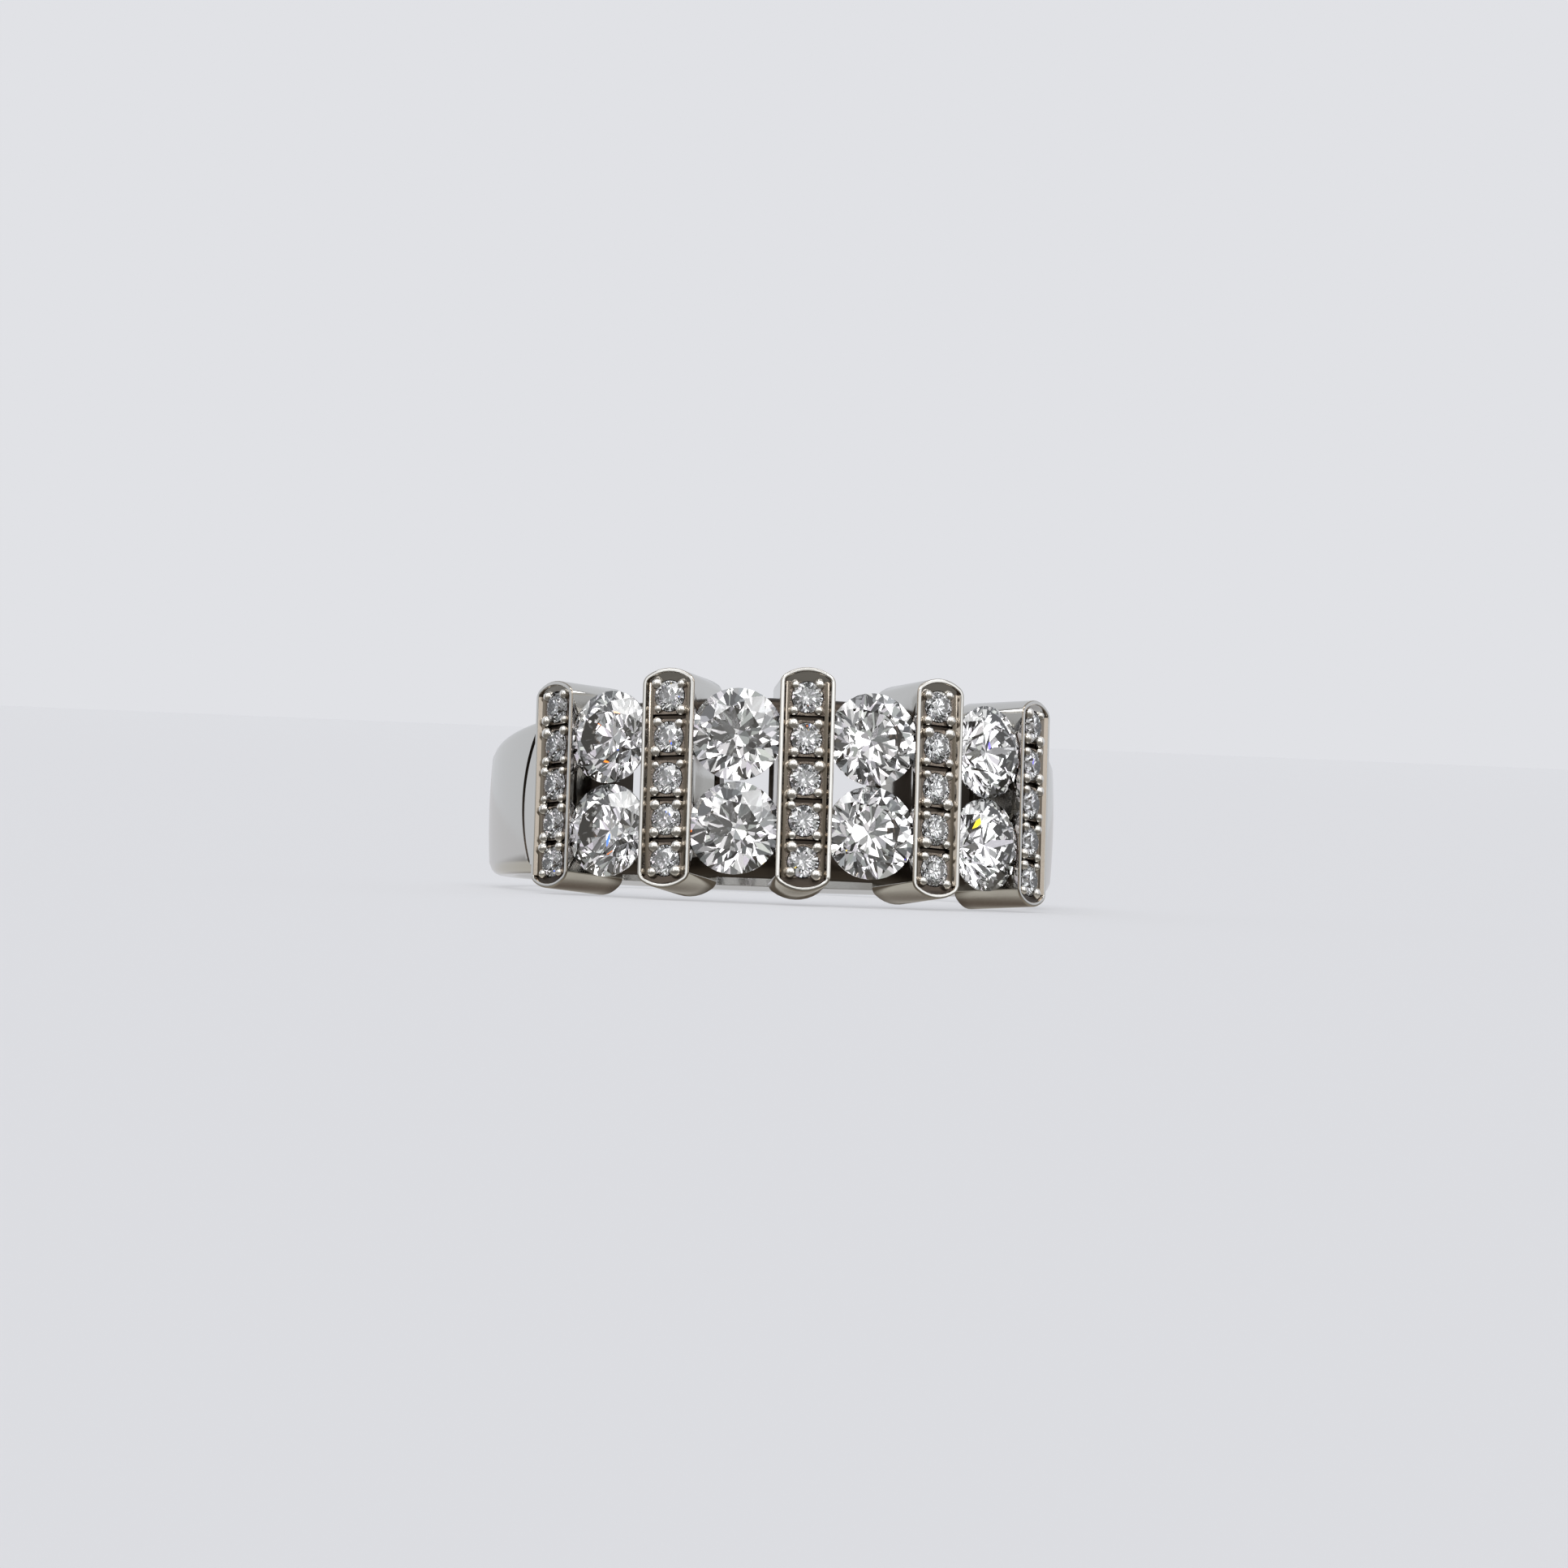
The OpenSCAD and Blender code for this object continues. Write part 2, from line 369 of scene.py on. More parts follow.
@dataclass(frozen=True)
class MirroredTable:
    """What the metal mirrors of the table: warm in front, with the ring's own shade, pale behind."""

    name: str = "table_in_mirror"
    front: tuple[tuple[float, str], ...] = (
        (0.0, "#5E564C"),
        (8.8, "#5E564C"),
        (9.6, "#BAB6AD"),
        (11.5, "#BAB6AD"),
        (13.5, "#6E6B66"),
        (22.0, "#6E6B66"),
        (60.0, "#8F8A82"),
    )
    back: str = "#CDCDD0"
    blend_mm: float = 6.0

    def build(self) -> Material:
        """Makes the material.

        Returns:
            The material, which only glows.
        """
        material = bpy.data.materials.new(self.name)
        tree = start_tree(material)
        where = add_node(tree, "ShaderNodeTexCoord").outputs["Object"]
        split = add_node(tree, "ShaderNodeSeparateXYZ", {"Vector": where})
        away = add_node(tree, "ShaderNodeVectorMath", {0: where}, operation="LENGTH")
        reach = self.front[-1][0]
        span = {"Value": away.outputs["Value"], "From Max": reach * MM}
        share = add_node(tree, "ShaderNodeMapRange", span)
        rings = add_node(tree, "ShaderNodeValToRGB", {"Fac": share.outputs["Result"]})
        set_ramp(rings, [(r / reach, linear(colour)) for r, colour in self.front])
        blend = self.blend_mm * MM
        behind = add_node(
            tree,
            "ShaderNodeMapRange",
            {"Value": split.outputs["Y"], "From Min": -blend, "From Max": blend},
            interpolation_type="SMOOTHSTEP",
        ).outputs["Result"]
        tone = add_node(
            tree,
            "ShaderNodeMix",
            {MIX_SHARE: behind, MIX_FIRST: rings.outputs["Color"], MIX_SECOND: linear(self.back)},
            data_type="RGBA",
        )
        light = add_node(tree, "ShaderNodeEmission", {"Color": tone.outputs[MIX_RESULT]})
        add_node(tree, "ShaderNodeOutputMaterial", {"Surface": light.outputs["Emission"]})
        return material


@dataclass(frozen=True)
class StoneRoom:
    """What the stones gather from all round: a room broken into light and dark patches."""

    name: str = "room_in_stones"
    patch_deg: float = 11.0
    tones: tuple[tuple[float, float], ...] = (
        (0.0, 0.03),
        (0.1, 0.22),
        (0.28, 0.52),
        (0.58, 1.0),
        (0.84, 2.4),
    )
    fire: float = 0.1

    def build(self) -> Material:
        """Makes the material.

        Returns:
            The material, which only glows.
        """
        material = bpy.data.materials.new(self.name)
        tree = start_tree(material)
        where = add_node(tree, "ShaderNodeTexCoord").outputs["Object"]
        towards = add_node(tree, "ShaderNodeVectorMath", {0: where}, operation="NORMALIZE")
        scale = 1 / math.radians(self.patch_deg)
        cells = {"Vector": towards.outputs["Vector"], "Scale": scale}
        patches = add_node(tree, "ShaderNodeTexVoronoi", cells).outputs["Color"]
        split = add_node(tree, "ShaderNodeSeparateColor", {"Color": patches})
        steps = add_node(tree, "ShaderNodeValToRGB", {"Fac": split.outputs["Red"]})
        steps.color_ramp.interpolation = "CONSTANT"
        top = self.tones[-1][1]
        set_ramp(steps, [(at, (grey / top, grey / top, grey / top, 1.0)) for at, grey in self.tones])
        # The cut splits light into its colours, which tints some facets a little
        tint = add_node(
            tree,
            "ShaderNodeMix",
            {MIX_SHARE: self.fire, MIX_FIRST: (1.0, 1.0, 1.0, 1.0), MIX_SECOND: patches},
            data_type="RGBA",
        ).outputs[MIX_RESULT]
        tone = add_node(
            tree,
            "ShaderNodeMix",
            {MIX_SHARE: 1.0, MIX_FIRST: steps.outputs["Color"], MIX_SECOND: tint},
            data_type="RGBA",
            blend_type="MULTIPLY",
        ).outputs[MIX_RESULT]
        light = add_node(tree, "ShaderNodeEmission", {"Color": tone, "Strength": top})
        add_node(tree, "ShaderNodeOutputMaterial", {"Surface": light.outputs["Emission"]})
        return material


@dataclass(frozen=True)
class Card:
    """A glowing or dark card round the ring, seen only in the mirror of its metal or its stones.

    All its sizes are in degrees as seen from the ring: its place from in front of the head
    towards the right and above the table, and its width and height.
    """

    name: str
    azimuth: float
    elevation: float
    width: float
    height: float
    colour: str
    strength: float
    seen_by: SeenBy
    far: float = 400.0
    near: float = 34.0

    @property
    def distance(self) -> float:
        """Distance from the ring: near for the stones, so that no two of them show the same."""
        return self.near if self.seen_by is SeenBy.STONES else self.far

    def build(self) -> None:
        """Makes the card and stands it in the studio."""
        material = bpy.data.materials.new(self.name)
        tree = start_tree(material)
        glow = {"Color": linear(self.colour), "Strength": self.strength}
        light = add_node(tree, "ShaderNodeEmission", glow)
        add_node(tree, "ShaderNodeOutputMaterial", {"Surface": light.outputs["Emission"]})
        bm = bmesh.new()
        bmesh.ops.create_grid(bm, x_segments=1, y_segments=1, size=0.5)
        size = [2 * self.distance * math.tan(math.radians(d / 2)) for d in (self.width, self.height)]
        bmesh.ops.scale(bm, vec=(*size, 1), verts=bm.verts[:])
        towards = direction(self.azimuth, self.elevation)
        turn = towards.to_track_quat("Z", "Y").to_matrix().to_4x4()
        frame = Matrix.Translation(towards * self.distance) @ turn
        put_on_stage(self.name, bm, material, frame, self.seen_by)


@dataclass(frozen=True)
class RingPlan:
    """Sizes and places that the pieces share, in millimetres."""

    bore_r: float
    axis: Vector
    band_t: float = 0.95
    band_w_side: float = 4.33
    band_w_back: float = 2.66
    head_h: float = 3.2
    head_r: float = 9.89
    bar_pitch: float = 26.7
    bar_w: float = 1.8
    bar_depth: float = 2.5
    base_clearance: float = 0.03
    bar_lengths: tuple[float, ...] = (6.8, 7.18, 7.3, 7.18, 6.8)
    accent_pitches: tuple[float, ...] = (1.27, 1.34, 1.34, 1.34, 1.27)
    accents_per_bar: int = 5
    main_d: float = 3.02
    pair_pitch: float = 3.05
    pair_drop: float = 0.08
    main_girdle_drop: float = 0.33
    accent_d: float = 1.0
    accent_girdle_drop: float = 0.14

    @classmethod
    def from_record(cls, record: dict[str, Any]) -> RingPlan:
        """Reads the finger hole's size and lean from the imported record.

        Args:
            record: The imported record.

        Returns:
            The plan.
        """
        hole = next(m for m in record["mounts"] if m["kind"] == "bore")
        return cls(bore_r=hole["dims"]["r_mm"], axis=Vector(hole["axis"]).normalized())

    @property
    def bars(self) -> range:
        """Numbers of the bars, from the left."""
        return range(1, len(self.bar_lengths) + 1)

    @property
    def pairs(self) -> range:
        """Numbers of the pairs of main stones, from the left."""
        return range(1, len(self.bar_lengths))

    @property
    def band_r(self) -> float:
        """Outer radius of the band."""
        return self.bore_r + self.band_t

    @property
    def arc_y(self) -> float:
        """Place of the centre of the arc of the bar tops on the head-to-back line."""
        return -(self.bore_r + self.head_h - self.head_r)

    @property
    def lying(self) -> Matrix:
        """The turn that tips the upright ring to lie at rest."""
        return Vector((0, 0, 1)).rotation_difference(self.axis).to_matrix().to_4x4()

    def half_width(self, y: float) -> float:
        """Half the band's width at y on the head-to-back line."""
        slope = (self.band_w_side - self.band_w_back) / 2 / self.band_r
        return self.band_w_side / 2 - slope * y

    def bar_angle(self, bar: float) -> float:
        """Angle on the arc of a bar, or between two bars for a half, in radians."""
        middle = (len(self.bar_lengths) + 1) / 2
        return math.radians((bar - middle) * self.bar_pitch)

    def base_r(self, bar: int) -> float:
        """Works out where on the arc a bar's base is, clear of the finger hole.

        Args:
            bar: Number of the bar.

        Returns:
            The base's distance from the arc's centre.
        """
        angle = self.bar_angle(bar)
        aside = abs(self.arc_y * math.sin(angle)) - self.bar_w / 2
        corner = self.arc_y * math.cos(angle) + math.sqrt(self.bore_r**2 - aside**2)
        return max(self.head_r - self.bar_depth, corner + self.base_clearance)

    def on_arc(self, angle: float, radius: float) -> Matrix:
        """A frame on the arc: its Z points outwards and its Y along the finger hole.

        Args:
            angle: Angle on the arc, in radians.
            radius: Distance from the arc's centre.

        Returns:
            The frame as a matrix.
        """
        return (
            Matrix.Translation((0, self.arc_y, 0))
            @ Matrix.Rotation(angle, 4, "Z")
            @ Matrix.Translation((0, -radius, 0))
            @ Matrix.Rotation(math.pi / 2, 4, "X")
        )

    def bar_frame(self, bar: int) -> Matrix:
        """The frame of a bar, with its XY plane on the bar's top."""
        return self.on_arc(self.bar_angle(bar), self.head_r)

    def accent_frame(self, bar: int, number: int) -> Matrix:
        """The frame of an accent stone's girdle.

        Args:
            bar: Number of the bar.
            number: Number of the stone in its bar, from the upper end.

        Returns:
            The frame as a matrix.
        """
        along = ((self.accents_per_bar + 1) / 2 - number) * self.accent_pitches[bar - 1]
        frame = self.on_arc(self.bar_angle(bar), self.head_r - self.accent_girdle_drop)
        return frame @ Matrix.Translation((0, along, 0))

    def main_frame(self, pair: int, end: int) -> Matrix:
        """The frame of a main stone's girdle.

        Args:
            pair: Number of the pair.
            end: 1 for the upper stone, -1 for the lower one.

        Returns:
            The frame as a matrix.
        """
        along = end * self.pair_pitch / 2 - self.pair_drop
        frame = self.on_arc(self.bar_angle(pair + 0.5), self.head_r - self.main_girdle_drop)
        return frame @ Matrix.Translation((0, along, 0))


def direction(azimuth: float, elevation: float) -> Vector:
    """The direction from the ring to a place round it.

    Args:
        azimuth: Degrees from in front of the head towards the right.
        elevation: Degrees above the table.

    Returns:
        The unit vector.
    """
    a, e = math.radians(azimuth), math.radians(elevation)
    return Vector((math.sin(a) * math.cos(e), -math.cos(a) * math.cos(e), math.sin(e)))


def edges_at(bm: BMesh, height: float, least: float, limit: float) -> list[BMEdge]:
    """Finds the level edges at a height that have a face of a certain steepness beside them.

    Args:
        bm: The mesh.
        height: Height of the edges.
        least: How far up or down the steeper face's normal points, at least.
        limit: What that stays below.

    Returns:
        The edges.
    """
    level = [e for e in bm.edges if all(abs(v.co.z - height) < NEAR for v in e.verts)]
    return [e for e in level if least <= min(abs(f.normal.z) for f in e.link_faces) < limit]


def round_off(bm: BMesh, geom: list[BMEdge] | list[BMVert], width: float, steps: int) -> None:
    """Rounds edges, or corners of a flat face.

    Args:
        bm: The mesh.
        geom: The edges or the corners.
        width: Width of the rounding, in millimetres.
        steps: Faces or edges across the rounding.
    """
    bmesh.ops.bevel(
        bm,
        geom=geom,
        offset=width,
        offset_type="OFFSET",
        segments=steps,
        profile=0.5,
        affect="EDGES" if isinstance(geom[0], BMEdge) else "VERTICES",
        material=-1,
        clamp_overlap=True,
    )


def revolve(
    bm: BMesh,
    steps: int,
    centre: Iterable[float] = (0, 0, 0),
    axis: Iterable[float] = (0, 0, 1),
    angle: float = 2 * math.pi,
) -> list[Any]:
    """Turns all that a mesh holds about an axis, and joins the two ends of a full turn.

    Args:
        bm: The mesh, with the points and edges of a section.
        steps: Faces round the turn.
        centre: A point of the axis.
        axis: The axis.
        angle: How far to turn, in radians.

    Returns:
        The section at the end of the turn.
    """
    spun = bmesh.ops.spin(
        bm,
        geom=bm.verts[:] + bm.edges[:],
        cent=centre,
        axis=axis,
        angle=angle,
        steps=steps,
        use_merge=angle == 2 * math.pi,
        use_duplicate=False,
    )
    return spun["geom_last"]


def split_faces(
    bm: BMesh, faces: list[BMFace], at: Iterable[float], across: Iterable[float]
) -> None:
    """Splits faces along a plane.

    Args:
        bm: The mesh.
        faces: The faces.
        at: A point of the plane.
        across: The plane's normal.
    """
    geom = list(dict.fromkeys(x for f in faces for x in [f, *f.edges, *f.verts]))
    bmesh.ops.bisect_plane(bm, geom=geom, plane_co=at, plane_no=across)


def to_object(name: str, bm: BMesh, skins: list[Material]) -> Object:
    """Turns a mesh into an object at the origin, still in millimetres.

    Args:
        name: The object's name.
        bm: The mesh, which is freed.
        skins: The object's materials.

    Returns:
        The object, linked to the scene.
    """
    bmesh.ops.recalc_face_normals(bm, faces=bm.faces[:])
    mesh = bpy.data.meshes.new(name)
    bm.to_mesh(mesh)
    bm.free()
    for skin in skins:
        mesh.materials.append(skin)
    obj = bpy.data.objects.new(name, mesh)
    bpy.context.scene.collection.objects.link(obj)
    return obj


def carve(obj: Object, cutter: Object) -> None:
    """Cuts one object out of another and removes the cutter.

    Args:
        obj: The object that keeps what is left.
        cutter: The closed shape to take away.
    """
    modifier = obj.modifiers.new("cut", "BOOLEAN")
    modifier.operation = "DIFFERENCE"
    modifier.solver = "EXACT"
    modifier.object = cutter
    graph = bpy.context.evaluated_depsgraph_get()
    carved = bpy.data.meshes.new_from_object(obj.evaluated_get(graph), depsgraph=graph)
    old = obj.data
    obj.modifiers.clear()
    obj.data = carved
    carved.name = obj.name
    bpy.data.meshes.remove(old)
    bpy.data.objects.remove(cutter)


def place(obj: Object, frame: Matrix) -> None:
    """Puts an object's mesh where it belongs, and turns its millimetres into metres.

    Args:
        obj: The object, which stays at the origin itself.
        frame: Where the mesh goes, in millimetres.
    """
    obj.data.transform(Matrix.Scale(MM, 4) @ frame)
    obj.data.update()


def put_on_stage(name: str, bm: BMesh, skin: Material, frame: Matrix, *seen_by: SeenBy) -> None:
    """Adds a piece of the studio, which isn't part of the ring.

    Args:
        name: The piece's name.
        bm: Its mesh, in millimetres.
        skin: Its material.
        frame: Where it goes, in millimetres.
        seen_by: What sees it. Nothing else does.
    """
    obj = to_object(name, bm, [skin])
    place(obj, frame)
    obj.data.shade_smooth()
    for ray in SeenBy:
        setattr(obj, f"visible_{ray.value}", ray in seen_by)
    obj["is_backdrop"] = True


def finish_metal(obj: Object, frame: Matrix, sharp_angle: float = 35.0) -> None:
    """Places a metal piece in the ring and shades it.

    Args:
        obj: The piece, in millimetres.
        frame: Where the piece goes, in millimetres.
        sharp_angle: Edges that turn by more than this many degrees stay crisp.
    """
    place(obj, frame)
    obj.data.shade_smooth()
    obj.data.set_sharp_from_angle(angle=math.radians(sharp_angle))
    flat = obj.modifiers.new("even_shading", "WEIGHTED_NORMAL")
    flat.keep_sharp = True
    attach(obj, BODY)
    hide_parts(BAND_NODE)


@dataclass
class StoneSeats:
    """The spaces cut in the metal for the stones."""

    plan: RingPlan
    room: float = 0.025
    girdle_share: float = 0.035
    crown_rise: float = 0.852
    pavilion_rise: float = 0.883
    steps: int = 48
    turn: float = 0.05

    def shape(self, diameter: float) -> Mesh:
        """Turns the section of a seat round its axis.

        Args:
            diameter: The stone's diameter.

        Returns:
            The closed shape of the seat, its girdle on the XY plane.
        """
        r = diameter / 2 + self.room
        g = self.girdle_share * diameter / 2 + self.room
        section = [(0, -g - r * self.pavilion_rise), (r, -g), (r, g), (0, g + r * self.crown_rise)]
        bm = bmesh.new()
        verts = [bm.verts.new((x, 0, z)) for x, z in section]
        for pair in zip(verts, verts[1:]):
            bm.edges.new(pair)
        revolve(bm, self.steps)
        bmesh.ops.remove_doubles(bm, verts=bm.verts[:], dist=NEAR)
        turned = Matrix.Rotation(self.turn, 3, "Z")
        bmesh.ops.rotate(bm, cent=(0, 0, 0), matrix=turned, verts=bm.verts[:])
        mesh = bpy.data.meshes.new("seat")
        bm.to_mesh(mesh)
        bm.free()
        return mesh

    def cutter(self, bar: int) -> Object:
        """Makes the shape that cuts all seats of a bar.

        Args:
            bar: Number of the bar.

        Returns:
            The cutter, in the bar's own frame.
        """
        plan = self.plan
        accents = [plan.accent_frame(bar, i + 1) for i in range(plan.accents_per_bar)]
        pairs = [pair for pair in (bar - 1, bar) if pair in plan.pairs]
        mains = [plan.main_frame(pair, end) for pair in pairs for end in (1, -1)]
        home = plan.bar_frame(bar).inverted()
        bm = bmesh.new()
        for diameter, frames in ((plan.accent_d, accents), (plan.main_d, mains)):
            mesh = self.shape(diameter)
            for frame in frames:
                known = len(bm.verts)
                bm.from_mesh(mesh)
                bmesh.ops.transform(bm, matrix=home @ frame, verts=bm.verts[known:])
            bpy.data.meshes.remove(mesh)
        return to_object(f"seats_{bar}", bm, [])


@dataclass
class Bar:
    """One bar: a plain rim round bright-cut slopes, and between them blocks for the accents."""

    plan: RingPlan
    number: int
    skins: list[Material]
    end_r: float = 1.3
    end_steps: int = 10
    corner_r: float = 0.15
    corner_steps: int = 4
    rim_w: float = 0.125
    ridge_w: float = 0.08
    ridge_depth: float = 0.12
    slope_w: float = 0.2
    channel_depth: float = 0.16
    crescent_h: float = 0.345
    end_wall: float = 0.02
    crown_depth: float = 0.03
    groove_w: float = 0.16
    groove_depth: float = 0.16
    groove_lean: float = 0.3
    outer_edge: float = 0.05
    base_edge: float = 0.06
    edge_steps: int = 3
    inner_edge: float = 0.015
    inner_edge_steps: int = 2

    @property
    def length(self) -> float:
        """Length of the bar along the finger hole."""
        return self.plan.bar_lengths[self.number - 1]

    @property
    def pitch(self) -> float:
        """Distance between the bar's accent stones."""
        return self.plan.accent_pitches[self.number - 1]

    @property
    def chord(self) -> float:
        """Distance from the bar's middle to the straight end of its field."""
        return self.length / 2 - self.rim_w - self.crescent_h

    def outline(self, bm: BMesh) -> BMFace:
        """Draws the bar's plan: straight sides and ends that are arcs.

        Args:
            bm: An empty mesh.

        Returns:
            The plan as one face.
        """
        half = self.plan.bar_w / 2
        centre = Vector((0, self.length / 2 - self.end_r, 0))
        bm.verts.new((half, centre.y + math.sqrt(self.end_r**2 - half**2), 0))
        revolve(bm, self.end_steps, centre, angle=2 * math.asin(half / self.end_r))
        bmesh.ops.mirror(bm, geom=bm.verts[:] + bm.edges[:], axis="Y", merge_dist=0)
        bmesh.ops.bridge_loops(bm, edges=bm.edges[:])
        bmesh.ops.dissolve_faces(bm, faces=bm.faces[:])
        corners = [v for v in bm.verts if abs(abs(v.co.x) - half) < NEAR]
        round_off(bm, corners, self.corner_r, self.corner_steps)
        return bm.faces[:][0]

    def block(self) -> BMesh:
        """Raises the plan to a solid, and cuts the rim, the slopes and the crescents at the ends.

        Returns:
            The mesh, with its rim's face on the XY plane.
        """
        bm = bmesh.new()
        top = self.outline(bm)
        if top.normal.z < 0:
            top.normal_flip()
        depth = self.plan.head_r - self.plan.base_r(self.number)
        raised = bmesh.ops.extrude_face_region(bm, geom=[top], use_keep_orig=True)
        base = [item for item in raised["geom"] if isinstance(item, BMVert)]
        bmesh.ops.translate(bm, vec=(0, 0, -depth), verts=base)
        bmesh.ops.recalc_face_normals(bm, faces=bm.faces[:])
        top = max(bm.faces, key=lambda face: face.calc_center_median().z)
        bmesh.ops.inset_region(bm, faces=[top], thickness=self.rim_w, use_even_offset=True)
        self.sink(bm, top)
        return bm

    def sink(self, bm: BMesh, top: BMFace) -> None:
        """Sinks the face inside the rim: the field, a ridged slope on each side, and two crescents.

        Each crescent is a plane that rises from the field to the bar's end.

        Args:
            bm: The bar's mesh.
            top: The face inside the rim.
        """
        outer = {f for f in bm.faces if f is not top}

        def inside() -> list[BMFace]:
            """Finds the faces inside the rim."""
            return [f for f in bm.faces if f not in outer]

        for end in (-1, 1):
            split_faces(bm, inside(), (0, end * self.chord, 0), (0, 1, 0))
        ridge = self.plan.bar_w / 2 - self.rim_w - self.ridge_w
        foot = self.plan.bar_w / 2 - self.rim_w - self.slope_w
        for at in (-ridge, -foot, foot, ridge):
            middle = [f for f in inside() if abs(f.calc_center_median().y) < self.pitch]
            split_faces(bm, middle, (at, 0, 0), (1, 0, 0))
        for face in [f for f in inside() if abs(f.calc_center_median().y) > self.chord]:
            bmesh.ops.inset_region(
                bm, faces=[face], thickness=self.end_wall, use_even_offset=True, use_boundary=True
            )
            crown = max(abs(v.co.y) for v in face.verts)
            for vertex in face.verts:
                fall = (crown - abs(vertex.co.y)) / (crown - self.chord)
                vertex.co.z = -self.crown_depth - fall * (self.channel_depth - self.crown_depth)
        sunk = {ridge: self.ridge_depth, foot: self.channel_depth}
        for vertex in {v for f in inside() for v in f.verts}:
            for at, depth in sunk.items():
                if abs(abs(vertex.co.x) - at) < NEAR and abs(vertex.co.y) < self.chord + NEAR:
                    vertex.co.z = -depth
        bm.normal_update()

    def round_edges(self, bm: BMesh) -> None:
        """Rounds the rim's two edges and the base's edge.

        Args:
            bm: The bar's mesh.
        """
        base = self.plan.base_r(self.number) - self.plan.head_r
        at_base = edges_at(bm, base, 0.0, WALL_RISE)
        round_off(bm, at_base, self.base_edge, self.edge_steps)
        at_slopes = edges_at(bm, 0.0, WALL_RISE, LEVEL_RISE)
        round_off(bm, at_slopes, self.inner_edge, self.inner_edge_steps)
        at_walls = edges_at(bm, 0.0, 0.0, WALL_RISE)
        round_off(bm, at_walls, self.outer_edge, self.edge_steps)

    def cut_field(self, bm: BMesh) -> None:
        """Cuts the cross grooves that part the blocks, and marks the finishes, whose darker skins are
        painted shade.

        Args:
            bm: The bar's mesh.
        """
        bm.normal_update()

        def floor() -> list[BMFace]:
            """Finds the level faces of the field."""
            level = [f for f in bm.faces if f.normal.z > LEVEL_RISE]
            return [f for f in level if abs(f.calc_center_median().z + self.channel_depth) < NEAR]

        # The sunk slopes take the bright-cut skin, darker than the polished: painted shade
        for face in bm.faces:
            centre = face.calc_center_median()
            is_sunk = face.normal.z > WALL_RISE and centre.z < -self.inner_edge
            is_crescent = abs(centre.y) > self.chord and face.normal.z > GENTLE_RISE
            # The lower crescents take the dark skin: painted shade
            if is_sunk and is_crescent and centre.y < 0:
                face.material_index = Skin.DIRT_AND_SHADE.value
            elif is_sunk and face.normal.z < LEVEL_RISE and not is_crescent:
                face.material_index = Skin.CUT.value
        gaps = self.plan.accents_per_bar - 1
        middles = [(i - (gaps - 1) / 2) * self.pitch for i in range(gaps)]
        half = self.groove_w / 2
        for at in [middle + side * half for middle in middles for side in (-1, 1)]:
            split_faces(bm, floor(), (0, at, 0), (0, 1, 0))
        grooves = [
            f for f in floor() if any(abs(f.calc_center_median().y - m) < half for m in middles)
        ]
        # The field takes the tooled skin, darker than the polished: painted shade
        for face in floor():
            face.material_index = Skin.TOOLED.value
        cut = bmesh.ops.inset_individual(
            bm,
            faces=grooves,
            thickness=self.groove_w * self.groove_lean,
            depth=-self.groove_depth,
            use_even_offset=False,
        )
        # The grooves take the dark skin: painted shade, with some dirt
        for face in [*cut["faces"], *grooves]:
            face.material_index = Skin.DIRT_AND_SHADE.value

    def build(self, seats: StoneSeats) -> Object:
        """Makes the bar, with its seats cut.

        Args:
            seats: The seats of the stones.

        Returns:
            The finished bar.
        """
        bm = self.block()
        self.round_edges(bm)
        self.cut_field(bm)
        obj = to_object(f"bar_{self.number}", bm, self.skins)
        carve(obj, seats.cutter(self.number))
        finish_metal(obj, self.plan.lying @ self.plan.bar_frame(self.number))
        return obj


@dataclass
class BeadRow:
    """The beads raised from a bar's blocks, four round each accent stone."""

    plan: RingPlan
    bar: int
    skin: Material
    bead_r: float = 0.18
    across: float = 0.41
    along: float = 0.45
    along_at_end: float = 0.38
    lift: float = 0.02
    squash: float = 0.95
    unevenness: float = 0.22
    sharp_angle: float = 80.0

    def build(self) -> Object:
        """Makes the bar's beads as one mesh.

        Returns:
            The finished beads.
        """
        bm = bmesh.new()
        hand = random.Random(self.bar)
        for number in range(1, self.plan.accents_per_bar + 1):
            stone = self.plan.accent_frame(self.bar, number)
            for side, end in ((-1, -1), (-1, 1), (1, -1), (1, 1)):
                last = number == (1 if end > 0 else self.plan.accents_per_bar)
                along = end * (self.along_at_end if last else self.along)
                drift = [hand.uniform(-1, 1) * self.unevenness * self.bead_r for _ in "xy"]
                size = 1 + hand.uniform(-1, 1) * self.unevenness
                at = (side * self.across + drift[0], along + drift[1], self.lift)
                shape = Matrix.Diagonal((size, size, size * self.squash, 1))
                frame = stone @ Matrix.Translation(at) @ shape
                bmesh.ops.create_icosphere(bm, subdivisions=2, radius=self.bead_r, matrix=frame)
        obj = to_object(f"beads_{self.bar}", bm, [self.skin])
        finish_metal(obj, self.plan.lying, self.sharp_angle)
        return obj


